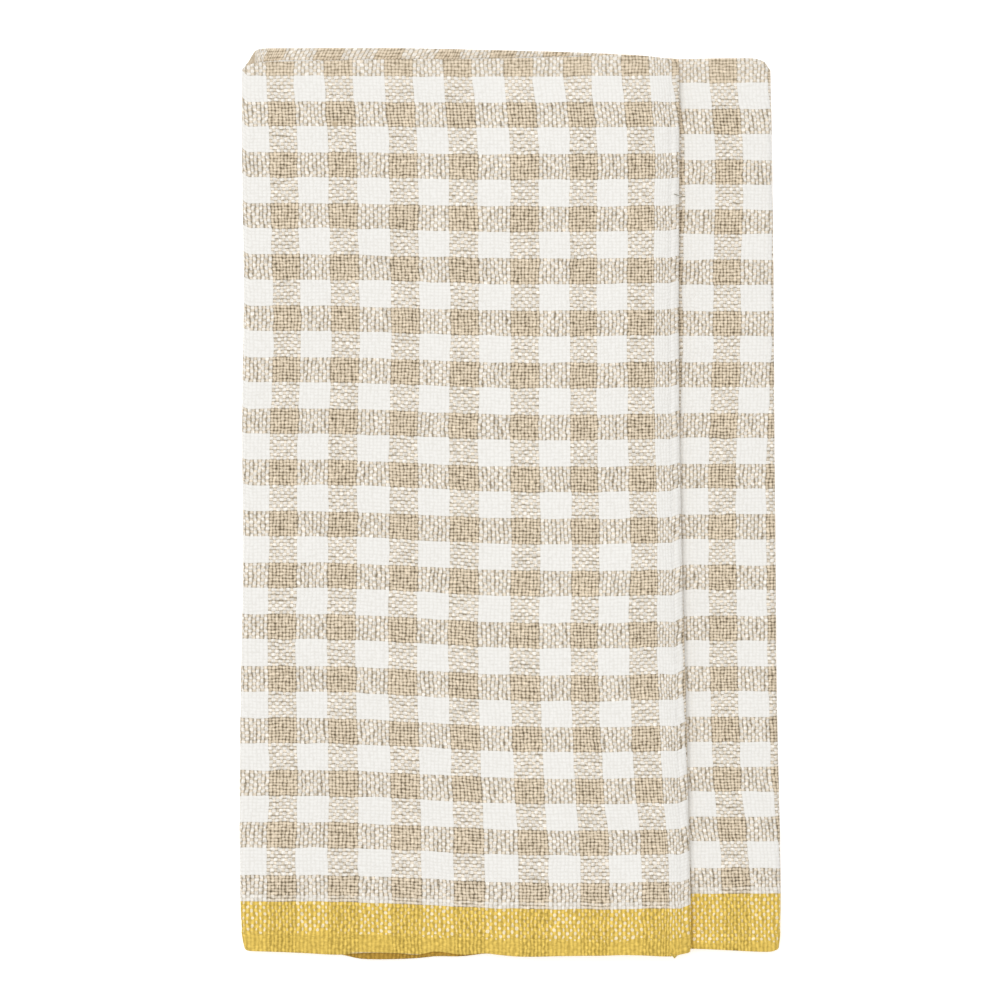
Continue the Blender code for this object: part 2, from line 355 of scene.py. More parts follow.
FOLD_MARGIN = 0.008
HEM_PUCKER = Wave(share=0.00016, across=0.0118, along=0.060, phase=0.9)
PUCKER_RUN = (-0.160, -0.170)


def front_relief(x, y):
    """Height of the front panel's creases and of the hem's puckers, nothing at its folds."""
    relief = np.zeros_like(x)
    for crease in FRONT_CREASES:
        dx, dy = x - crease.x, y - crease.y
        run_x, run_y = np.sin(crease.lean), np.cos(crease.lean)
        off = dx * run_y - dy * run_x
        run = dx * run_x + dy * run_y
        relief = relief + crease.height * np.exp(-((off / crease.width) ** 2) - (run / crease.reach) ** 2)
    relief = relief + ripple(HEM_PUCKER, x, y) * ease(*PUCKER_RUN, y)
    left = along(EDGES, "y", "left", y)
    fold = along(EDGES, "y", "front", y)
    return relief * ease(left, left + FOLD_MARGIN, x) * (1 - ease(fold - FOLD_MARGIN, fold, x))


# The check
# Eight natural and eight white yarns make a repeat, both ways. The pattern map gives each point its
# place on the flat cloth, counted in repeats: across from the first natural stripe of the front, and
# along from the start of the outer layer's mustard border. It follows the lean of the yarns as they lie.
REPEAT_ACROSS = 0.0233
REPEAT_ALONG = 0.0200
NATURAL_SHARE_ACROSS = 0.4735
NATURAL_SHARE_ALONG = 0.486
WHOLE_REPEATS = 32                    # between the two borders
FAR_BORDER = WHOLE_REPEATS + NATURAL_SHARE_ALONG
TOP_FOLD_ROW = FAR_BORDER / 2

# Where the front's first natural stripe starts, and the width of a repeat, from the bottom up
Stripe = namedtuple("Stripe", "y start repeat")
FRONT_STRIPES = (
    Stripe(y=-0.175, start=-0.0945, repeat=0.02435),
    Stripe(y=-0.134, start=-0.0947, repeat=0.02430),
    Stripe(y=-0.114, start=-0.0938, repeat=0.02380),
    Stripe(y=-0.094, start=-0.0939, repeat=0.02360),
    Stripe(y=-0.055, start=-0.0943, repeat=0.02345),
    Stripe(y=-0.016, start=-0.0937, repeat=0.02345),
    Stripe(y=0.024, start=-0.0935, repeat=0.02326),
    Stripe(y=0.063, start=-0.0920, repeat=0.02295),
    Stripe(y=0.112, start=-0.0931, repeat=0.02315),
    Stripe(y=0.141, start=-0.0937, repeat=0.02325),
    Stripe(y=0.165, start=-0.0949, repeat=0.02303),
)
FLAP_STRIPES = (
    Stripe(y=-0.175, start=0.0832, repeat=0.0229),
    Stripe(y=-0.145, start=0.0824, repeat=0.0229),
    Stripe(y=-0.127, start=0.0810, repeat=0.0228),
    Stripe(y=-0.108, start=0.0792, repeat=0.0227),
    Stripe(y=-0.089, start=0.0785, repeat=0.0226),
    Stripe(y=-0.055, start=0.0777, repeat=0.0226),
    Stripe(y=0.009, start=0.0772, repeat=0.0224),
    Stripe(y=0.028, start=0.0778, repeat=0.0224),
    Stripe(y=0.067, start=0.0792, repeat=0.0226),
    Stripe(y=0.087, start=0.0790, repeat=0.0226),
    Stripe(y=0.106, start=0.0796, repeat=0.0226),
    Stripe(y=0.126, start=0.0800, repeat=0.0226),
    Stripe(y=0.145, start=0.0795, repeat=0.0226),
    Stripe(y=0.161, start=0.0778, repeat=0.0227),
    Stripe(y=0.174, start=0.0775, repeat=0.0227),
)
FLAP_FIRST_STRIPE = -11

# How far the front's stripes lie to the right of even spacing
Sway = namedtuple("Sway", "x right")
FRONT_SWAY = (
    Sway(x=-0.105, right=0.0),
    Sway(x=-0.092, right=0.0),
    Sway(x=-0.070, right=-0.00045),
    Sway(x=-0.043, right=0.0),
    Sway(x=-0.023, right=0.0),
    Sway(x=-0.004, right=0.00055),
    Sway(x=0.016, right=0.0008),
    Sway(x=0.035, right=0.0001),
    Sway(x=0.051, right=-0.0002),
    Sway(x=0.072, right=0.0),
)
ROLL_CLOSING = 0.168                  # repeats lost to sight where the front rises to its fold
ROLL_CLOSING_RUN = (0.0113, 0.0030)   # from and to, before the front fold
ROLL_TIGHTNESS = 1.10

# Where the back's stripes lie just under its top fold, which shows beyond the front's; there its yarns
# lean to the right
Peek = namedtuple("Peek", "x ends")
BACK_PEEK = (
    Peek(x=-0.1034, ends=-0.75),
    Peek(x=-0.0953, ends=-1.53),
    Peek(x=-0.0887, ends=-2.00),
    Peek(x=-0.0759, ends=-2.53),
    Peek(x=-0.0657, ends=-3.00),
    Peek(x=-0.0521, ends=-3.53),
    Peek(x=-0.0420, ends=-4.00),
    Peek(x=-0.0280, ends=-4.53),
    Peek(x=-0.0202, ends=-5.00),
    Peek(x=-0.0078, ends=-5.53),
    Peek(x=0.0027, ends=-6.00),
    Peek(x=0.0125, ends=-6.53),
    Peek(x=0.0450, ends=-7.98),
    Peek(x=0.0990, ends=-9.75),
)
PEEK_HEIGHT = 0.1745
PEEK_START = 0.150
PEEK_SLANT = 0.55                     # how far its yarns lean to the right for each step up
PEEK_FROM = 0.02                      # shares of the way across the back where the lean comes and goes
LEAN_FROM = 0.04
LEAN_TO = (0.8, 1.0)

# Heights of the rows on the front's left side and on the flap
Row = namedtuple("Row", "y row")
FRONT_ROWS = (
    Row(y=-0.1747, row=-0.875),
    Row(y=-0.1552, row=0.0),
    Row(y=-0.1342, row=1.0),
    Row(y=-0.1141, row=2.0),
    Row(y=-0.0936, row=3.0),
    Row(y=-0.0736, row=4.0),
    Row(y=-0.0531, row=5.0),
    Row(y=0.0069, row=8.0),
    Row(y=0.1068, row=13.0),
    Row(y=0.1465, row=15.0),
    Row(y=0.1661, row=16.0),
    Row(y=0.1802, row=16.7),
)
FLAP_ROWS = (
    Row(y=-0.1735, row=-0.950),
    Row(y=-0.1521, row=0.0),
    Row(y=-0.1317, row=1.0),
    Row(y=-0.1124, row=2.0),
    Row(y=-0.0930, row=3.0),
    Row(y=-0.0537, row=5.0),
    Row(y=0.0055, row=8.0),
    Row(y=0.0449, row=10.0),
    Row(y=0.0848, row=12.0),
    Row(y=0.1046, row=13.0),
    Row(y=0.1238, row=14.0),
    Row(y=0.1434, row=15.0),
    Row(y=0.1635, row=16.0),
    Row(y=0.1802, row=16.85),
)
BACK_TOP = 0.1770                     # where the back's top fold lies on its rows
BACK_EVEN = 0.2                       # of the way across, before the back's rows turn to meet the flap's

# How far the front's rows sink to the right of the left column
Sink = namedtuple("Sink", "y drop")
ROW_SINK = (
    Sink(y=-0.175, drop=0.0027),
    Sink(y=-0.155, drop=0.0027),
    Sink(y=-0.124, drop=0.0029),
    Sink(y=-0.065, drop=0.0035),
    Sink(y=-0.004, drop=0.0029),
    Sink(y=0.056, drop=0.0023),
    Sink(y=0.096, drop=0.00175),
    Sink(y=0.156, drop=0.0006),
    Sink(y=0.175, drop=0.0004),
)
SINK_RUN = (-0.0794, 0.0117)
RISE_RUN = (0.035, 0.058)             # where they rise again a little, and by what share of the sinking
RISE = 0.15
FOLD_RISE_RUN = 0.005                 # before the front fold, where most of the rest is lost
FOLD_RISE = 0.7


def linear(rows, column, at):
    """A column of a table read with straight lines, so that repeats keep an even width."""
    places = [row.y for row in rows]
    return np.interp(at, places, [getattr(row, column) for row in rows])


def front_ends(x, y):
    """Repeats across at a place on the front."""
    fold = along(EDGES, "y", "front", y)
    start = along(FRONT_STRIPES, "y", "start", y)
    closing = np.clip((x - fold + ROLL_CLOSING_RUN[0]) / (ROLL_CLOSING_RUN[0] - ROLL_CLOSING_RUN[1]), 0, 1)
    start = start + along(FRONT_SWAY, "x", "right", x)
    return (x - start) / along(FRONT_STRIPES, "y", "repeat", y) + ROLL_CLOSING * closing


def flap_ends(x, y):
    start = along(FLAP_STRIPES, "y", "start", y)
    return FLAP_FIRST_STRIPE + (x - start) / along(FLAP_STRIPES, "y", "repeat", y)


def fold_turn(name, y, tightness=1.0):
    """Repeats that the doubled cloth's middle takes to go round one lengthwise fold."""
    _, start, end = fold_places(y)[name]
    return tightness * pi * (abs(end - start) / 2 + half_gap(y)) / REPEAT_ACROSS


def ends_at(name, share, x, y):
    """Repeats across at a share of the way along one stretch."""
    folds = fold_places(y)
    front_x, left_x, right_x = (folds[fold][0] for fold in ("front fold", "left fold", "right fold"))
    front_start = front_ends(front_x, y)
    tuck_start = front_start + fold_turn("front fold", y, ROLL_TIGHTNESS)
    left_end = front_ends(left_x, y) - fold_turn("left fold", y)
    right_end = flap_ends(right_x, y) + fold_turn("right fold", y)
    if name == "tuck":
        return tuck_start + (front_x - x) / REPEAT_ACROSS
    if name == "front fold":
        return between(tuck_start, front_start, share)
    if name == "front":
        return front_ends(x, y)
    if name == "left fold":
        return between(front_ends(left_x, y), left_end, share)
    if name == "back":
        places, ends = zip(*BACK_PEEK)
        peek = ease(PEEK_START, PEEK_HEIGHT, y) * ease(0.0, PEEK_FROM, share)
        lean = PEEK_SLANT * (y - PEEK_HEIGHT) * ease(0.0, LEAN_FROM, share) * (1 - ease(*LEAN_TO, share))
        upright = x - lean
        return between(between(left_end, right_end, share), np.interp(upright, places, ends), peek)
    if name == "right fold":
        return between(right_end, flap_ends(right_x, y), share)
    return flap_ends(x, y)


def front_picks(x, y):
    """Repeats along at a place on the front's outer layer."""
    fold = along(EDGES, "y", "front", y)
    at_fold = 1 - FOLD_RISE * ease(fold - FOLD_RISE_RUN, fold, x)
    sinking = ease(*SINK_RUN, x) * (1 - RISE * ease(*RISE_RUN, x)) * at_fold
    return linear(FRONT_ROWS, "row", y + along(ROW_SINK, "y", "drop", y) * sinking)


def picks_at(name, share, x, y):
    """Repeats along on the outer layer."""
    if name in ("tuck", "front fold", "front"):
        return front_picks(x, y)
    border = FRONT_ROWS[1].y
    even = TOP_FOLD_ROW * (y - border) / (BACK_TOP - border)
    if name == "left fold":
        return between(front_picks(x, y), even, share)
    if name == "back":
        return between(even, linear(FLAP_ROWS, "row", y), ease(BACK_EVEN, 1.0, share))
    return linear(FLAP_ROWS, "row", y)


COLUMNS = mesh_columns()
stretch_of = {stretch.name: stretch for stretch in STRETCHES}


def cloth_grid():
    """Both faces of the cloth as arrays of points, with the pattern's place of each point."""
    faces = {1: [], -1: []}
    pattern = []
    for column, (name, share) in enumerate(COLUMNS):
        flat_x, _ = centre_line(name, share, np.zeros(1))
        stretch = stretch_of[name]
        lines = PANEL_LINES[stretch.first if share < 0.5 else stretch.second]
        top, hem, under_hem = (along(lines, "x", line, flat_x)[0] for line in ("top", "hem", "under_hem"))
        y, across, y_step, across_step, from_end = doubled_rows(top, hem, under_hem)
        for side in (1, -1):
            half = sheet_thickness(from_end, y) / 2
            at_y = y - side * half * across_step
            off = across + side * half * y_step
            x, z = centre_line(name, share, at_y)
            out_x, out_z = outward(column, at_y)
            px, pz = x + off * out_x, z + off * out_z
            pz = pz * stack_wave(px, at_y)
            if name == "front":
                pz = pz + front_relief(px, at_y)
            faces[side].append(np.stack([px, at_y, pz], axis=1))
        pattern.append(column_pattern(name, share, y, across))
    return np.array(faces[1]), np.array(faces[-1]), np.array(pattern)


def column_pattern(name, share, y, across):
    """Repeats across and along for each row of one column, over the top fold and down again."""
    x, _ = centre_line(name, share, y)
    ends = ends_at(name, share, x, y)
    outer_rows = len(HEM_ROWS) + BODY_ROWS
    picks = picks_at(name, share, x, y)
    turn = picks[outer_rows - 1]
    bend = pi * abs(across[outer_rows]) / REPEAT_ALONG
    step = np.arange(1, TOP_FOLD_ROWS) / TOP_FOLD_ROWS
    picks[outer_rows:outer_rows + TOP_FOLD_ROWS - 1] = turn + bend * step
    inner = slice(outer_rows + TOP_FOLD_ROWS - 1, None)
    border = np.interp(0.0, picks[:outer_rows], y[:outer_rows])
    down = (y[outer_rows - 1] - y[inner]) / (y[outer_rows - 1] - border)
    picks[inner] = turn + bend + (FAR_BORDER - turn - bend) * down
    return np.stack([ends * REPEAT_ACROSS, picks * REPEAT_ALONG], axis=1)


# Shares of the baked picture: how wide each stretch is there, how high the outer layer, the inner layer
# and the cloth's inner face end, and the strip for the thin rims
BAKE_MARGIN = 0.01
BAKE_WIDTHS = {
    "tuck": 0.02, "front fold": 0.045, "front": 0.43, "left fold": 0.03, "back": 0.31,
    "right fold": 0.03, "flap": 0.115,
}
BAKE_TOP_FOLD = 0.80
BAKE_INNER_END = 0.915
BAKE_INNER_FACE = (0.925, 0.990)
BAKE_RIMS = (0.993, 0.997)
RIM_FILL = 0.9                        # of a rim face's cell


def bake_columns():
    """The place of each column on the baked picture, the panels that show widest."""
    edges = [BAKE_MARGIN]
    for stretch in STRETCHES:
        edges += [edges[-1] + BAKE_WIDTHS[stretch.name] * share for share in step_shares(stretch)]
    return np.array(edges)


def build_cloth():
    outer, inner, pattern = cloth_grid()
    columns, rows, _ = outer.shape
    points = np.concatenate([outer.reshape(-1, 3), inner.reshape(-1, 3)])
    low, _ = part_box("towel")
    points[:, 2] += low[2] - points[:, 2].min()

    c, r = np.meshgrid(np.arange(columns - 1), np.arange(rows - 1), indexing="ij")
    c, r = c.ravel(), r.ravel()
    face = columns * rows
    near, ahead = c * rows + r, (c + 1) * rows + r
    outer_faces = np.stack([near, near + 1, ahead + 1, ahead], axis=1)
    inner_faces = face + np.stack([near, ahead, ahead + 1, near + 1], axis=1)
    cc, rr = np.arange(columns - 1), np.arange(rows - 1)
    rims = []
    for row, turned in ((0, False), (rows - 1, True)):
        a, b = cc * rows + row, (cc + 1) * rows + row
        strip = np.stack([a, b, b + face, a + face], axis=1)
        rims.append(strip[:, ::-1] if turned else strip)
    for column, turned in ((0, True), (columns - 1, False)):
        a = column * rows + rr
        strip = np.stack([a, a + 1, a + 1 + face, a + face], axis=1)
        rims.append(strip[:, ::-1] if turned else strip)
    faces = np.concatenate([outer_faces, inner_faces] + rims)

    mesh = bpy.data.meshes.new("linen_cloth")
    mesh.from_pydata(points.tolist(), [], faces.tolist())
    mesh.shade_smooth()

    corners = np.zeros(len(mesh.loops), np.int32)
    mesh.loops.foreach_get("vertex_index", corners)
    place = np.concatenate([pattern.reshape(-1, 2)] * 2)
    flat_map = mesh.uv_layers.new(name="FlatCloth")
    flat_map.data.foreach_set("uv", place[corners].ravel().astype(np.float32))

    bake_u = np.repeat(bake_columns(), rows)
    heights = (bake_rows(rows), np.linspace(*BAKE_INNER_FACE, rows))
    bake = np.concatenate([np.stack([bake_u, np.tile(height, columns)], axis=1) for height in heights])
    bake_map = mesh.uv_layers.new(name="OFBake")
    values = bake[corners]
    rim_start = (len(outer_faces) + len(inner_faces)) * 4
    values[rim_start:] = rim_places(len(values) - rim_start)
    bake_map.data.foreach_set("uv", values.ravel().astype(np.float32))
    mesh.uv_layers.active = flat_map
    flat_map.active_render = True

    cloth = bpy.data.objects.new("linen_cloth", mesh)
    bpy.context.scene.collection.objects.link(cloth)
    outer_size = outer.shape[0] * outer.shape[1]
    return cloth, points[:outer_size].reshape(outer.shape), points[outer_size:].reshape(outer.shape)


def bake_rows(rows):
    """Most of the picture's height for the outer layer, less for the inner one."""
    outer_rows = len(HEM_ROWS) + BODY_ROWS
    first = np.linspace(BAKE_MARGIN, BAKE_TOP_FOLD, outer_rows + TOP_FOLD_ROWS // 2)
    second = np.linspace(BAKE_TOP_FOLD, BAKE_INNER_END, rows - len(first) + 1)[1:]
    return np.concatenate([first, second])


def rim_places(count):
    """The thin rims share a strip at the top of the picture, each face in its own small cell."""
    cells = count // 4
    pitch = (1 - 2 * BAKE_MARGIN) / cells
    start = BAKE_MARGIN + pitch * np.arange(cells)
    corner = np.array([[0, 0], [1, 0], [1, 1], [0, 1]])
    u = start[:, None] + RIM_FILL * pitch * corner[None, :, 0]
    v = between(*BAKE_RIMS, np.repeat(corner[None, :, 1], cells, axis=0))
    return np.stack([u.ravel(), v.ravel()], axis=1)


linen_cloth, outer_face, inner_face = build_cloth()


# The linen
# Plain weave: warp ends cross weft picks over and under, eight natural and eight white of each in turn.
# Only the border's picks are mustard, thick and packed, over the same warp. The yarns look hand-spun,
# and their colour carries painted shade: each is painted bright where it rides over another and darker
# where it dives between its neighbours.
WHITE_YARN = (0.890, 0.875, 0.840)
NATURAL_WARP = (0.795, 0.680, 0.525)
NATURAL_WEFT = (0.770, 0.650, 0.490)
MUSTARD_YARN = (0.895, 0.638, 0.142)
INNER_HEM_SHADE = (0.62, 0.53, 0.42)        # painted shade on the inner hem's edge, darker where it peeks out
HEM_EDGE_HIGHLIGHT = (0.76, 0.69, 0.60)        # painted highlight along one length of the front hem's folded edge
HIGHLIGHT_LENGTH = (0.030, 0.036, 0.066, 0.074)
HIGHLIGHT_ROWS = (-0.885, -0.850)
SMUDGE = (0.54, 0.43, 0.29)           # one small soft smudge near the top left
SMUDGE_PLACE = (0.0264, 0.3008, 0.0)
SMUDGE_RADIUS = 0.0018
SMUDGE_CORE = 0.3                     # of its radius, where it is darkest
SMUDGE_SHARE = 0.8
NATURAL_SHADOW = (1.0, 0.91, 0.74)
MUSTARD_SHADOW = (1.0, 0.92, 0.62)
END_COUNT = 8
PICK_COUNT = 8
MIDDLE_PICK = PICK_COUNT * (WHOLE_REPEATS + 0.5)
FLAP_EDGE = -0.2353                   # on the pattern map, where the right fold meets the flap
FLAP_EDGE_RUN = 0.002
PALE_PICKS = 2                        # the last picks before each border
PALE_SHARE = 0.45                     # of a pale pick's natural colour, gone

# A yarn's half width, in yarn pitches, when it is natural and when it is white
Yarn = namedtuple("Yarn", "natural white")
WARP = Yarn(natural=0.37, white=0.35)
WEFT = Yarn(natural=0.38, white=0.42)
BORDER_WARP = Yarn(natural=0.18, white=0.27)
BORDER_WEFT = 0.85
CROSSING_SOFTNESS = 0.20              # of the step in height where one yarn gives way to the other
SLUBS = 0.30                          # how far slubs swell or thin it

# How far yarns stray, in yarn pitches, and how many bends they make in a metre
Stray = namedtuple("Stray", "far bends")
GROUP_STRAY = Stray(far=0.50, bends=90.0)
YARN_STRAY = Stray(far=0.46, bends=260.0)
SLUB_BENDS = 170.0
SLUB_STEP = 3.17                      # of the noise, from one yarn to the next
BEND_STEP = 5.31

# The border: how unevenly the mustard covers the warp, its ribs, and the hem, in repeats past its start
COVER = Stray(far=0.8, bends=420.0)
HEM_COVER = 1.6
RIB_OVER = 0.22                       # a rib's rise where its pick crosses over, and along its middle
RIB_HEIGHT = 0.50
RIB_LIFT = 0.12
HEM_RIBS = (0.75, 0.15)               # in the hem ribs are lower and lifted, least over the natural warp
HEM_RIB_SHARE = 0.8
HEM_EDGE = (0.50, 0.62)
HEM_EDGE_STRAY = Stray(far=0.10, bends=60.0)
FLAP_HEM_DROP = 0.30
# where the painted shade on the inner hem's edge comes in, in repeats past the far border
INNER_HEM_SHADE_EDGE = (0.76, 0.84)

# How dark the painted shade makes a yarn where it lies low, on its own kind. In the border it goes by the
# warp that the mustard hides, as a share of the natural yarn's.
NATURAL_SHADE_DEPTH = 0.44
MUSTARD_SHADE_DEPTH = Yarn(natural=0.60, white=0.48)
WHITE_SHADE_DEPTH = Yarn(natural=0.88, white=0.92)
HOLE_SHADE_DEPTH = 0.42
HOLE_RANGE = (-1.3, -0.1)
LIT_RANGE = (-0.42, 0.92)
BORDER_LIT_RANGE = (-0.50, 0.75)
NATURAL_PART = 0.5                    # what each yarn adds to the darkening at a crossing, white none
BORDER_WARP_PART = 0.25
MUSTARD_PART = 0.35
TOP_FOLD_SMOOTH = 0.22                # of the painted shade, lost where the top fold stretches the cloth
TOP_FOLD_RANGE = (0.75, 0.25)
HEM_DARKER = 0.07
SIDE_SHARE = 0.30                     # of the darkening, across a yarn rather than along it
BLEED = 0.25                          # of the crossing yarn's colour, seen through the one on top
BORDER_BLEED = 0.45
SLUB_TONE = 0.14
FLECK_TONE = 0.50
FLECKS_PER_YARN = 1.1
WHITE_TONE = 0.10                     # of those two tones, on white
BUMP_STRENGTH = 0.5
BUMP_DEPTH = 0.00015
HOLE_BOTTOM = -0.6                    # the height below which the holes are level


class Weave:
    """Adds nodes to the linen's material and links them."""

    def __init__(self, material):
        self.tree = material.node_tree

    def put(self, socket, value):
        if isinstance(value, bpy.types.NodeSocket):
            self.tree.links.new(value, socket)
        else:
            socket.default_value = value

    def math(self, operation, *values, clamp=False):
        node = self.tree.nodes.new("ShaderNodeMath")
        node.operation = operation
        node.use_clamp = clamp
        for socket, value in zip(node.inputs, values):
            self.put(socket, value)
        return node.outputs[0]

    def add(self, *values):
        total = values[0]
        for value in values[1:]:
            total = self.math("ADD", total, value)
        return total

    def minus(self, first, second):
        return self.math("SUBTRACT", first, second)

    def times(self, first, second):
        return self.math("MULTIPLY", first, second)

    def blend(self, share, first, second):
        """A number that goes from first to second as share goes from 0 to 1."""
        node = self.tree.nodes.new("ShaderNodeMix")
        node.data_type = "FLOAT"
        for socket, value in zip(node.inputs, (share, None, first, second)):
            if value is not None:
                self.put(socket, value)
        return node.outputs[0]

    def mix(self, share, first, second):
        """A colour between two."""
        node = self.tree.nodes.new("ShaderNodeMix")
        node.data_type = "RGBA"
        self.put(node.inputs["Factor"], share)
        for name, value in (("A", first), ("B", second)):
            socket = [s for s in node.inputs if s.name == name and s.type == "RGBA"][0]
            self.put(socket, value if isinstance(value, bpy.types.NodeSocket) else (*value, 1.0))
        return [s for s in node.outputs if s.type == "RGBA"][0]

    def vectors(self, operation, first, second):
        node = self.tree.nodes.new("ShaderNodeVectorMath")
        node.operation = operation
        self.put(node.inputs[0], first)
        self.put(node.inputs["Scale" if operation == "SCALE" else 1], second)
        return node.outputs["Value" if operation == "DISTANCE" else "Vector"]

    def vector(self, x, y, z=0.0):
        node = self.tree.nodes.new("ShaderNodeCombineXYZ")
        for socket, value in zip(node.inputs, (x, y, z)):
            self.put(socket, value)
        return node.outputs[0]

    def noise(self, vector, scale, detail=2.0, roughness=0.5):
        node = self.tree.nodes.new("ShaderNodeTexNoise")
        self.put(node.inputs["Vector"], vector)
        node.inputs["Scale"].default_value = scale
        node.inputs["Detail"].default_value = detail
        node.inputs["Roughness"].default_value = roughness
        return node.outputs["Fac"]

    def swing(self, value, size):
        """A noise of 0 to 1 as a swing of that size each way."""
        return self.times(self.minus(value, 0.5), 2.0 * size)

    def range(self, value, low, high, to_low=0.0, to_high=1.0, smooth=True):
        node = self.tree.nodes.new("ShaderNodeMapRange")
        node.interpolation_type = "SMOOTHSTEP" if smooth else "LINEAR"
        for socket, number in zip(node.inputs, (value, low, high, to_low, to_high)):
            self.put(socket, number)
        return node.outputs[0]

    def yarn_count(self, repeats, natural_share, count):
        """Repeats as a count of yarns, the natural ones lying a little closer than the white."""
        whole = self.math("FLOOR", repeats)
        part = self.minus(repeats, whole)
        natural = self.math("DIVIDE", part, natural_share, clamp=True)
        white = self.math("DIVIDE", self.minus(part, natural_share), 1 - natural_share, clamp=True)
        return self.add(self.times(self.add(natural, white), count), self.times(whole, 2 * count))

    def natural(self, yarn, count):
        """1 on the natural yarns of a repeat, 0 on the white."""
        return self.math("LESS_THAN", self.math("FLOORED_MODULO", yarn, 2 * count), count - 0.5)

    def crest(self, run):
        """A yarn's height along itself: 1 on top of a crossing, 0 between two, -1 underneath."""
        return self.math("COSINE", self.times(run, pi))

    def fall(self, off, half_width):
        """How much lower a yarn is at its side than at its middle, 1 at its half width."""
        return self.math("POWER", self.math("DIVIDE", self.math("ABSOLUTE", off), half_width), 2.0)


def linen_material():
    material = bpy.data.materials.new("linen_gingham")
    material.use_nodes = True
    shader = material.node_tree.nodes["Principled BSDF"]
    w = Weave(material)

    uv = w.tree.nodes.new("ShaderNodeUVMap")
    uv.uv_map = "FlatCloth"
    split = w.tree.nodes.new("ShaderNodeSeparateXYZ")
    w.put(split.inputs[0], uv.outputs["UV"])
    flat_x, flat_y = split.outputs["X"], split.outputs["Y"]

    # Yarns wander a little as a group. A noise's third coordinate only sets it apart from the others.
    rows = w.math("DIVIDE", flat_y, REPEAT_ALONG)
    ends = w.yarn_count(w.math("DIVIDE", flat_x, REPEAT_ACROSS), NATURAL_SHARE_ACROSS, END_COUNT)
    picks = w.yarn_count(rows, NATURAL_SHARE_ALONG, PICK_COUNT)
    group_end = w.noise(w.vector(flat_x, flat_y, 1.0), GROUP_STRAY.bends)
    group_pick = w.noise(w.vector(flat_x, flat_y, 5.0), GROUP_STRAY.bends)
    ends = w.add(ends, w.swing(group_end, GROUP_STRAY.far))
    picks = w.add(picks, w.swing(group_pick, GROUP_STRAY.far))
    end, pick = w.math("FLOOR", ends), w.math("FLOOR", picks)
    across = w.minus(w.minus(ends, end), 0.5)
    along_y = w.minus(w.minus(picks, pick), 0.5)

    # Then each by itself, with slubs along it
    slub_end = w.noise(w.vector(w.times(end, SLUB_STEP), w.times(flat_y, SLUB_BENDS), 2.0), 1.0, 3.0)
    slub_pick = w.noise(w.vector(w.times(flat_x, SLUB_BENDS), w.times(pick, SLUB_STEP), 7.0), 1.0, 3.0)
    bend_end = w.noise(w.vector(w.times(end, BEND_STEP), w.times(flat_y, YARN_STRAY.bends), 12.0), 1.0, 1.0)
    bend_pick = w.noise(w.vector(w.times(flat_x, YARN_STRAY.bends), w.times(pick, BEND_STEP), 17.0), 1.0, 1.0)
    across = w.add(across, w.swing(bend_end, YARN_STRAY.far))
    along_y = w.add(along_y, w.swing(bend_pick, YARN_STRAY.far))

    # Which yarns are natural, white or mustard, and where the border is turned up into its hem
    from_middle = w.math("ABSOLUTE", w.minus(w.add(pick, 0.5), MIDDLE_PICK))
    border = w.math("GREATER_THAN", from_middle, MIDDLE_PICK)
    pale = w.times(w.math("GREATER_THAN", from_middle, MIDDLE_PICK - PALE_PICKS), PALE_SHARE)
    past_border = w.minus(w.math("ABSOLUTE", w.minus(rows, TOP_FOLD_ROW)), TOP_FOLD_ROW)
    uneven = w.swing(w.noise(w.vector(flat_x, 4.0), HEM_EDGE_STRAY.bends), HEM_EDGE_STRAY.far)
    on_flap = w.range(flat_x, FLAP_EDGE + FLAP_EDGE_RUN, FLAP_EDGE)
    hem = w.range(w.minus(w.add(past_border, uneven), w.times(on_flap, FLAP_HEM_DROP)), *HEM_EDGE)
    not_border = w.minus(1.0, border)
    natural_end = w.natural(end, END_COUNT)
    natural_pick = w.times(w.natural(pick, PICK_COUNT), w.times(not_border, w.minus(1.0, pale)))

    # Which of the two yarns lies on top
    turn = w.math("FLOORED_MODULO", w.add(end, pick), 2.0)
    far_x, far_y = w.math("ABSOLUTE", across), w.math("ABSOLUTE", along_y)
    end_crest = w.crest(w.blend(turn, w.minus(1.0, far_y), far_y))
    pick_crest = w.crest(w.blend(turn, far_x, w.minus(1.0, far_x)))
    end_width = w.blend(
        border,
        w.blend(natural_end, WARP.white, WARP.natural),
        w.blend(natural_end, BORDER_WARP.white, BORDER_WARP.natural),
    )
    pick_width = w.blend(border, w.blend(natural_pick, WEFT.white, WEFT.natural), BORDER_WEFT)
    end_width = w.add(end_width, w.swing(slub_end, SLUBS))
    pick_width = w.add(pick_width, w.swing(slub_pick, SLUBS))
    end_fall, pick_fall = w.fall(across, end_width), w.fall(along_y, pick_width)

    # In the border the mustard hides the warp unevenly, and at the hem almost wholly
    patch = w.noise(w.vector(flat_x, flat_y, 9.0), COVER.bends, 1.0)
    hidden = w.add(w.times(border, w.swing(patch, COVER.far)), w.times(hem, HEM_COVER))
    end_height = w.minus(w.minus(end_crest, end_fall), hidden)
    rib = w.math("COSINE", w.times(far_x, 2 * pi))
    ribs = w.add(w.times(pick_crest, RIB_OVER), w.times(rib, RIB_HEIGHT), RIB_LIFT)
    lower, lift = HEM_RIBS
    smooth = w.times(hem, w.minus(1.0, w.times(natural_end, HEM_RIB_SHARE)))
    pick_crest = w.blend(border, pick_crest, w.blend(smooth, ribs, w.add(w.times(ribs, lower), lift)))
    pick_height = w.minus(pick_crest, pick_fall)
    end_on_top = w.range(w.minus(end_height, pick_height), -CROSSING_SOFTNESS, CROSSING_SOFTNESS)
    top = w.math("MAXIMUM", end_height, pick_height)

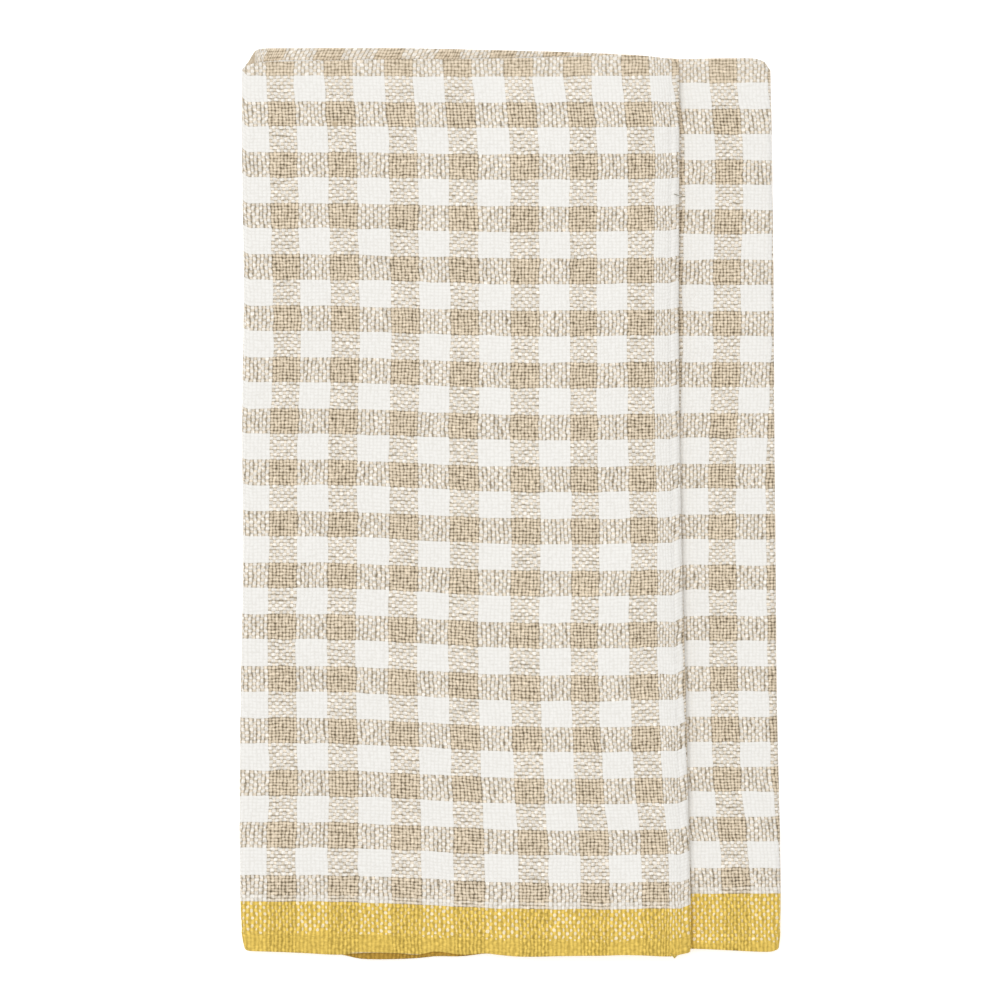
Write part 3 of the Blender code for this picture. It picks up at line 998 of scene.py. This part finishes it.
    # Each shows a little of the other's colour
    end_colour = w.mix(natural_end, WHITE_YARN, NATURAL_WARP)
    pick_colour = w.mix(border, w.mix(natural_pick, WHITE_YARN, NATURAL_WEFT), MUSTARD_YARN)
    colour = w.mix(
        end_on_top,
        w.mix(w.times(not_border, BLEED), pick_colour, end_colour),
        w.mix(w.blend(border, BLEED, BORDER_BLEED), end_colour, pick_colour),
    )
    # Painted shade on the inner hem's edge, where it peeks out below the outer hem
    inner_hem_shade = w.range(w.minus(rows, FAR_BORDER), *INNER_HEM_SHADE_EDGE)
    # A painted highlight along one length of the front hem's folded edge
    start, highlight_full, highlight_fading, highlight_end = HIGHLIGHT_LENGTH
    along_hem = w.times(w.range(flat_x, start, highlight_full), w.minus(1.0, w.range(flat_x, highlight_fading, highlight_end)))
    edge_highlight = w.times(along_hem, w.minus(1.0, w.range(rows, *HIGHLIGHT_ROWS)))
    colour = w.mix(edge_highlight, w.mix(inner_hem_shade, colour, w.vectors("MULTIPLY", colour, INNER_HEM_SHADE)), HEM_EDGE_HIGHLIGHT)

    # Painted shade: darker where a yarn dives and in the holes between, most among natural yarns
    depth_share = w.add(
        w.times(natural_end, w.blend(border, NATURAL_PART, BORDER_WARP_PART)),
        w.times(natural_pick, NATURAL_PART),
        w.times(border, MUSTARD_PART),
    )
    mustard_shade = w.blend(natural_end, MUSTARD_SHADE_DEPTH.white, MUSTARD_SHADE_DEPTH.natural)
    shade_kind = w.blend(end_on_top, w.blend(border, natural_pick, mustard_shade), natural_end)
    deepest_shade = w.blend(shade_kind, w.blend(depth_share, WHITE_SHADE_DEPTH.white, WHITE_SHADE_DEPTH.natural), NATURAL_SHADE_DEPTH)
    lit = w.blend(
        end_on_top,
        w.minus(pick_crest, w.times(pick_fall, SIDE_SHARE)),
        w.minus(end_crest, w.times(end_fall, SIDE_SHARE)),
    )
    low, high = (w.blend(border, *pair) for pair in zip(LIT_RANGE, BORDER_LIT_RANGE))
    lit = w.range(lit, low, high)
    hole = w.range(top, *HOLE_RANGE)
    shade = w.times(w.blend(lit, deepest_shade, 1.0), w.blend(hole, w.blend(depth_share, 1.0, HOLE_SHADE_DEPTH), 1.0))
    fleck = w.noise(w.vector(w.times(ends, FLECKS_PER_YARN), w.times(picks, FLECKS_PER_YARN), 3.0), 1.0, 1.0)
    tone = w.add(w.swing(slub_end, SLUB_TONE), w.swing(slub_pick, SLUB_TONE), w.swing(fleck, FLECK_TONE))
    tone_share = w.range(depth_share, 0.0, NATURAL_PART, WHITE_TONE, 1.0, smooth=False)
    shade = w.times(shade, w.add(1.0, w.times(tone, tone_share)))
    from_fold = w.math("ABSOLUTE", w.minus(rows, TOP_FOLD_ROW))
    stretched = w.range(from_fold, *TOP_FOLD_RANGE, 0.0, TOP_FOLD_SMOOTH)
    shade = w.times(w.blend(stretched, shade, 1.0), w.minus(1.0, w.times(hem, HEM_DARKER)))
    tint = w.mix(shade, w.mix(border, NATURAL_SHADOW, MUSTARD_SHADOW), (1.0, 1.0, 1.0))
    shaded = w.vectors("MULTIPLY", w.vectors("SCALE", colour, shade), tint)
    far = w.vectors("DISTANCE", w.vector(flat_x, flat_y), SMUDGE_PLACE)
    smudged = w.range(far, SMUDGE_RADIUS, SMUDGE_CORE * SMUDGE_RADIUS, 0.0, SMUDGE_SHARE)
    w.put(shader.inputs["Base Color"], w.mix(smudged, shaded, SMUDGE))

    bump = w.tree.nodes.new("ShaderNodeBump")
    bump.inputs["Strength"].default_value = BUMP_STRENGTH
    bump.inputs["Distance"].default_value = BUMP_DEPTH
    w.put(bump.inputs["Height"], w.math("MAXIMUM", top, HOLE_BOTTOM))
    w.put(shader.inputs["Normal"], bump.outputs["Normal"])
    shader.inputs["Roughness"].default_value = 0.92
    shader.inputs["Specular IOR Level"].default_value = 0.15
    return material


linen_cloth.data.materials.append(linen_material())
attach(linen_cloth, "root")
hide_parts("towel")

# The hem stitches
# One row of lockstitch holds each hem, in mustard thread. Each stitch is a thin, rounded length of
# thread on the cloth's own surface, repeated along a line near the hem's turned-in edge, on both faces.
STITCH_ROW = 8                        # among HEM_ROWS
STITCH_PITCH = 0.0030
STITCH_LENGTH = 0.0024
STITCH_THICKNESS = 0.00036
STITCH_SINK = 0.09                    # of the way through the cloth, where the thread's middle lies
STITCH_SIDES = 8
STITCH_RINGS = 6
THREAD_COLOUR = (0.700, 0.520, 0.120)
THREAD_DARKER = 0.72                  # of that colour, between its strands
THREAD_GRAIN = 900.0                  # to a metre
THREAD_GRAIN_RANGE = (0.35, 0.65)


def thread_material():
    material = bpy.data.materials.new("mustard_thread")
    material.use_nodes = True
    w = Weave(material)
    shader = material.node_tree.nodes["Principled BSDF"]
    place = w.tree.nodes.new("ShaderNodeTexCoord").outputs["Object"]
    tone = w.noise(place, THREAD_GRAIN)
    dark = tuple(THREAD_DARKER * part for part in THREAD_COLOUR)
    w.put(shader.inputs["Base Color"], w.mix(w.range(tone, *THREAD_GRAIN_RANGE), dark, THREAD_COLOUR))
    shader.inputs["Roughness"].default_value = 0.8
    shader.inputs["Specular IOR Level"].default_value = 0.2
    return material


def stitch_nodes(thread):
    """Stitches of a given length and pitch along the edges of the object that they are put on."""
    group = bpy.data.node_groups.new("hem_stitches", "GeometryNodeTree")
    for way in ("INPUT", "OUTPUT"):
        group.interface.new_socket("Geometry", in_out=way, socket_type="NodeSocketGeometry")
    for name, value in (("Pitch", STITCH_PITCH), ("Length", STITCH_LENGTH), ("Thickness", STITCH_THICKNESS)):
        socket = group.interface.new_socket(name, in_out="INPUT", socket_type="NodeSocketFloat")
        socket.default_value = value
    nodes, link = group.nodes, group.links.new
    given, result = nodes.new("NodeGroupInput"), nodes.new("NodeGroupOutput")
    curve = nodes.new("GeometryNodeMeshToCurve")
    spaced = nodes.new("GeometryNodeResampleCurve")
    spaced.mode = "LENGTH"
    ball = nodes.new("GeometryNodeMeshUVSphere")
    ball.inputs["Segments"].default_value = STITCH_SIDES
    ball.inputs["Rings"].default_value = STITCH_RINGS
    ball.inputs["Radius"].default_value = 0.5
    size = nodes.new("ShaderNodeCombineXYZ")
    tangent = nodes.new("GeometryNodeInputTangent")
    turn = nodes.new("FunctionNodeAlignEulerToVector")
    turn.axis = "X"
    place = nodes.new("GeometryNodeInstanceOnPoints")
    real = nodes.new("GeometryNodeRealizeInstances")
    dressed = nodes.new("GeometryNodeSetMaterial")
    dressed.inputs["Material"].default_value = thread
    link(given.outputs["Geometry"], curve.inputs["Mesh"])
    link(curve.outputs["Curve"], spaced.inputs["Curve"])
    link(given.outputs["Pitch"], spaced.inputs["Length"])
    link(given.outputs["Length"], size.inputs["X"])
    link(given.outputs["Thickness"], size.inputs["Y"])
    link(given.outputs["Thickness"], size.inputs["Z"])
    link(tangent.outputs["Tangent"], turn.inputs["Vector"])
    link(spaced.outputs["Curve"], place.inputs["Points"])
    link(ball.outputs["Mesh"], place.inputs["Instance"])
    link(turn.outputs["Rotation"], place.inputs["Rotation"])
    link(size.outputs["Vector"], place.inputs["Scale"])
    link(place.outputs["Instances"], real.inputs["Geometry"])
    link(real.outputs["Geometry"], dressed.inputs["Geometry"])
    link(dressed.outputs["Geometry"], result.inputs["Geometry"])
    return group


def hem_stitches(thread):
    lines = []
    for row in (STITCH_ROW, outer_face.shape[1] - 1 - STITCH_ROW):
        lines.append(between(outer_face[:, row], inner_face[:, row], STITCH_SINK))
        lines.append(between(inner_face[:, row], outer_face[:, row], STITCH_SINK))
    count = len(lines[0])
    edges = [(n * count + i, n * count + i + 1) for n in range(len(lines)) for i in range(count - 1)]
    guide_mesh = bpy.data.meshes.new("hem_stitches")
    guide_mesh.from_pydata(np.concatenate(lines).tolist(), edges, [])
    guide = bpy.data.objects.new("hem_stitches", guide_mesh)
    bpy.context.scene.collection.objects.link(guide)
    modifier = guide.modifiers.new("stitches", "NODES")
    modifier.node_group = stitch_nodes(thread)
    bpy.context.view_layer.update()
    ready = guide.evaluated_get(bpy.context.evaluated_depsgraph_get())
    mesh = bpy.data.meshes.new_from_object(ready)
    guide.modifiers.clear()
    guide.data = mesh
    mesh.shade_smooth()
    return guide


mustard_thread = thread_material()
stitches = hem_stitches(mustard_thread)
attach(stitches, "root")

# The loose ends
# The end of the hem's thread is knotted and hangs a little below the front's corner, and one fine fibre
# lies across the front fold. Each is a thin round thread bent through a few points.
Bend = namedtuple("Bend", "x y up")
KNOT_POINTS = (
    Bend(0.0622, -0.1745, 0.0002), Bend(0.0630, -0.1757, 0.0003), Bend(0.0640, -0.1762, 0.0006),
    Bend(0.0645, -0.1757, 0.0008), Bend(0.0638, -0.1752, 0.0007), Bend(0.0633, -0.1758, 0.0004),
    Bend(0.0637, -0.1763, 0.0001), Bend(0.0638, -0.1765, -0.0003),
)
KNOT_RADIUS = 0.00028
FIBRE_POINTS = (
    Bend(0.0636, 0.1198, 0.0001), Bend(0.0648, 0.1193, 0.0003), Bend(0.0660, 0.1189, 0.0002),
    Bend(0.0670, 0.1188, -0.0006), Bend(0.0680, 0.1189, -0.0018),
)
FIBRE_RADIUS = 0.00015
FIBRE_COLOUR = (0.28, 0.26, 0.20)


def height_on_front(x, y):
    """The height of the cloth's outer face at a place on the front panel."""
    first = COLUMNS.index(("front", step_shares(stretch_of["front"])[0]))
    last = first + stretch_of["front"].steps
    near = outer_face[first:last].reshape(-1, 3)
    return near[np.argmin(np.hypot(near[:, 0] - x, near[:, 1] - y)), 2]


def thread_end(name, points, radius, material):
    curve = bpy.data.curves.new(name, "CURVE")
    curve.dimensions = "3D"
    curve.bevel_depth = radius
    curve.bevel_resolution = 2
    curve.use_fill_caps = True
    line = curve.splines.new("NURBS")
    line.points.add(len(points) - 1)
    for point, bend in zip(line.points, points):
        point.co = (bend.x, bend.y, height_on_front(bend.x, bend.y) + bend.up, 1.0)
    line.order_u = 3
    line.use_endpoint_u = True
    line.resolution_u = 6
    holder = bpy.data.objects.new(name, curve)
    bpy.context.scene.collection.objects.link(holder)
    bpy.context.view_layer.update()
    mesh = bpy.data.meshes.new_from_object(holder.evaluated_get(bpy.context.evaluated_depsgraph_get()))
    bpy.data.objects.remove(holder)
    piece = bpy.data.objects.new(name, mesh)
    bpy.context.scene.collection.objects.link(piece)
    mesh.materials.clear()
    mesh.materials.append(material)
    mesh.shade_smooth()
    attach(piece, "root")
    return piece


def fibre_material():
    material = bpy.data.materials.new("flax_fibre")
    material.use_nodes = True
    shader = material.node_tree.nodes["Principled BSDF"]
    shader.inputs["Base Color"].default_value = (*FIBRE_COLOUR, 1.0)
    shader.inputs["Roughness"].default_value = 0.7
    return material


thread_end("thread_knot", KNOT_POINTS, KNOT_RADIUS, mustard_thread)
thread_end("stray_fibre", FIBRE_POINTS, FIBRE_RADIUS, fibre_material())

# The floor
# A plain white board, lit so that it stays just white round the towel. It is no part of the towel.
FLOOR_SIZE = 6.0
FLOOR_DROP = 0.0002
FLOOR_COLOUR = (0.93, 0.93, 0.93)
FLOOR_GLOW = 0.40


def white_floor():
    bpy.ops.mesh.primitive_plane_add(size=FLOOR_SIZE, location=(0, 0, -FLOOR_DROP))
    floor = bpy.context.object
    floor.name = "white_floor"
    material = bpy.data.materials.new("white_board")
    material.use_nodes = True
    shader = material.node_tree.nodes["Principled BSDF"]
    shader.inputs["Base Color"].default_value = (*FLOOR_COLOUR, 1.0)
    shader.inputs["Roughness"].default_value = 0.9
    shader.inputs["Specular IOR Level"].default_value = 0.1
    shader.inputs["Emission Color"].default_value = (1.0, 1.0, 1.0, 1.0)
    shader.inputs["Emission Strength"].default_value = FLOOR_GLOW
    floor.data.materials.append(material)
    return floor


white_floor()

# The light
# One broad soft lamp over the towel, a little to the left and above, and an even white surround.
LAMP_SIZE = 2.0
LAMP_HEIGHT = 2.6
LAMP_LEFT = 0.40
LAMP_UP = 0.30
LAMP_POWER = 43.0
SURROUND = 0.528


def soft_light():
    lamp = bpy.data.lights.new("soft_lamp", "AREA")
    lamp.shape = "SQUARE"
    lamp.size = LAMP_SIZE
    lamp.energy = LAMP_POWER
    holder = bpy.data.objects.new("soft_lamp", lamp)
    holder.location = (-LAMP_LEFT, LAMP_UP, LAMP_HEIGHT)
    holder.rotation_euler = (-atan(LAMP_UP / LAMP_HEIGHT), -atan(LAMP_LEFT / LAMP_HEIGHT), 0)
    bpy.context.scene.collection.objects.link(holder)
    world = bpy.data.worlds.new("surround")
    world.use_nodes = True
    world.node_tree.nodes["Background"].inputs["Color"].default_value = (1.0, 1.0, 1.0, 1.0)
    world.node_tree.nodes["Background"].inputs["Strength"].default_value = SURROUND
    bpy.context.scene.world = world


soft_light()

# The camera
# Straight above the towel, which lies a little to the right of the picture's middle.
CAMERA_HEIGHT = 2.20
FRAME_WIDTH = 0.389                   # what the picture takes in, at the height it is sharp
SHARP_HEIGHT = 0.006
PICTURE_MIDDLE = (-0.0039, 0.0010)


def overhead_camera():
    camera = bpy.data.cameras.new("overhead")
    camera.sensor_fit = "HORIZONTAL"
    camera.angle = 2 * atan(FRAME_WIDTH / 2 / CAMERA_HEIGHT)
    camera.clip_start = 0.01
    holder = bpy.data.objects.new("overhead", camera)
    holder.location = (*PICTURE_MIDDLE, SHARP_HEIGHT + CAMERA_HEIGHT)
    bpy.context.scene.collection.objects.link(holder)
    bpy.context.scene.camera = holder


overhead_camera()
bpy.context.scene.view_settings.view_transform = "Standard"
